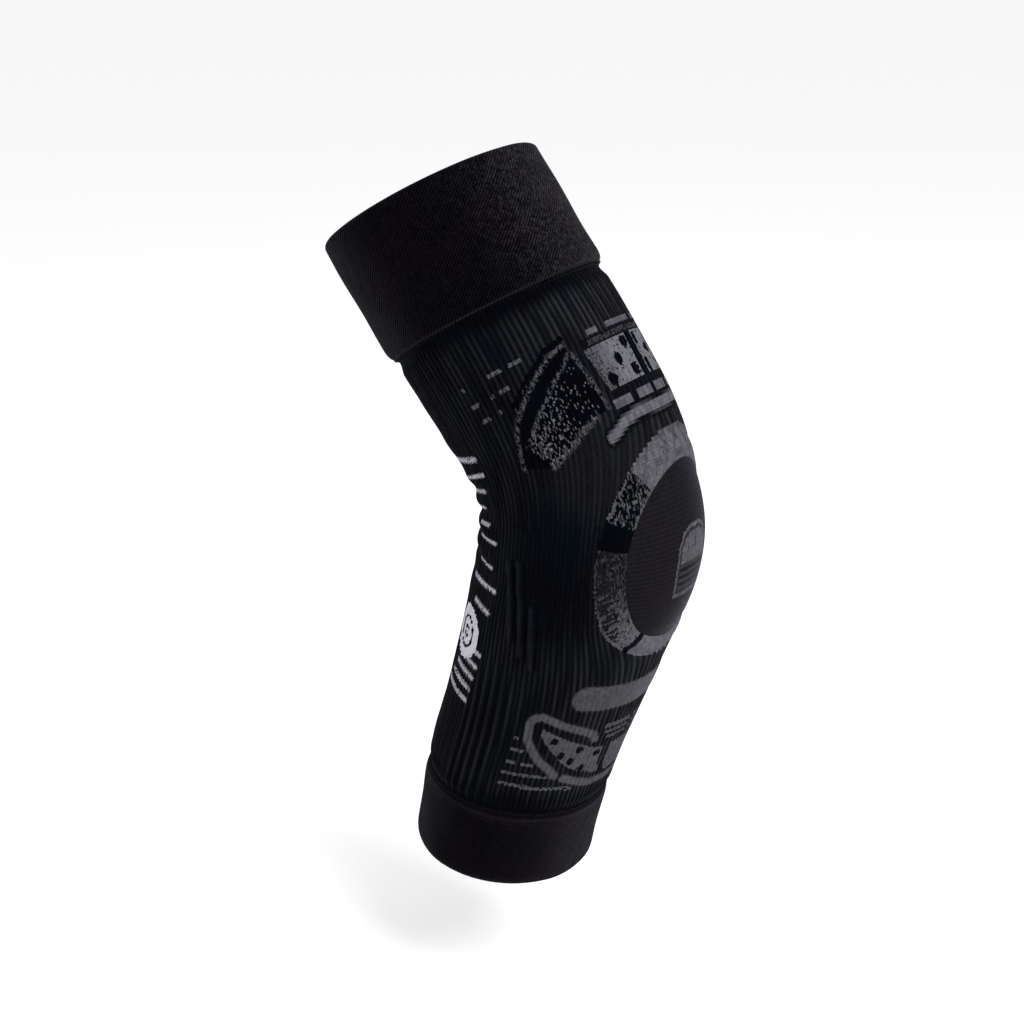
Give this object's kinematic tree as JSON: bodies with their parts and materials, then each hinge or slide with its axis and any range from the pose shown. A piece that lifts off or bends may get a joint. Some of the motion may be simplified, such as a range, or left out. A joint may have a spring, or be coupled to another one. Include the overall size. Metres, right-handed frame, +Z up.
{
  "type": "elbow pad",
  "caption": "Knitted elbow sleeve bent as worn, with folded cuffs and a ring-shaped gel pad and foam dome over the elbow point.",
  "frame": {"origin": "on the arm's line at the elbow, inside the sleeve", "axes": "+Z up towards the shoulder end, +X out through the elbow point, the sleeve bends in the XZ plane"},
  "size_m": [0.1567, 0.0916, 0.2944],
  "materials": {
    "black_knit": "ribbed stretch knit",
    "cuff_knit": "plain fine knit",
    "smooth_knit": "smooth fine knit",
    "grey_knit": "patterned knit",
    "light_knit": "patterned knit",
    "lining_knit": "soft lining knit",
    "elastic": "woven elastic",
    "silicone": "satin silicone",
    "gel": "soft gel",
    "foam": "matt closed-cell foam",
    "seam_thread": "linking stitch"
  },
  "bodies": {
    "upper_arm": {"upper_cuff": "cuff_knit", "upper_elastic": "elastic", "upper_grip_1": "silicone", "upper_grip_2": "silicone", "upper_grip_3": "silicone", "upper_linking_seam": "seam_thread", "upper_sleeve": "black_knit", "elbow_knit_upper": "black_knit"},
    "elbow": {"dome_facing": "smooth_knit", "ring_top": "light_knit", "ring_speckle_left": "grey_knit", "ring_speckle_right": "grey_knit", "ring_block_left": "black_knit", "ring_block_right": "black_knit", "ring_rib_left": "grey_knit", "ring_rib_right": "grey_knit", "ring_bottom": "light_knit", "gel_ring": "gel", "foam_dome": "foam", "pad_lining": "lining_knit"},
    "forearm": {"elbow_knit_lower": "black_knit", "forearm_sleeve": "black_knit", "bar_facing": "light_knit", "lower_linking_seam": "seam_thread", "lower_cuff": "cuff_knit", "lower_elastic": "elastic", "lower_grip_1": "silicone", "lower_grip_2": "silicone"}
  },
  "joints": [
    {"name": "elbow_flex", "type": "hinge", "parent": "upper_arm", "child": "elbow", "pos_m": [-0.02, 0, 0.0397], "axis": [0, 1, 0], "range_deg": [-35, 50], "stiffness_Nm_per_rad": 1, "deforming": ["elbow_knit_upper"]},
    {"name": "forearm_flex", "type": "hinge", "parent": "elbow", "child": "forearm", "pos_m": [-0.0103, 0, -0.0716], "axis": [0, 1, 0], "range_deg": [-14, 20], "stiffness_Nm_per_rad": 1, "deforming": ["elbow_knit_lower"]}
  ],
  "couplings": [
    {"joint": "forearm_flex", "follows": "elbow_flex", "ratio": 0.4}
  ]
}
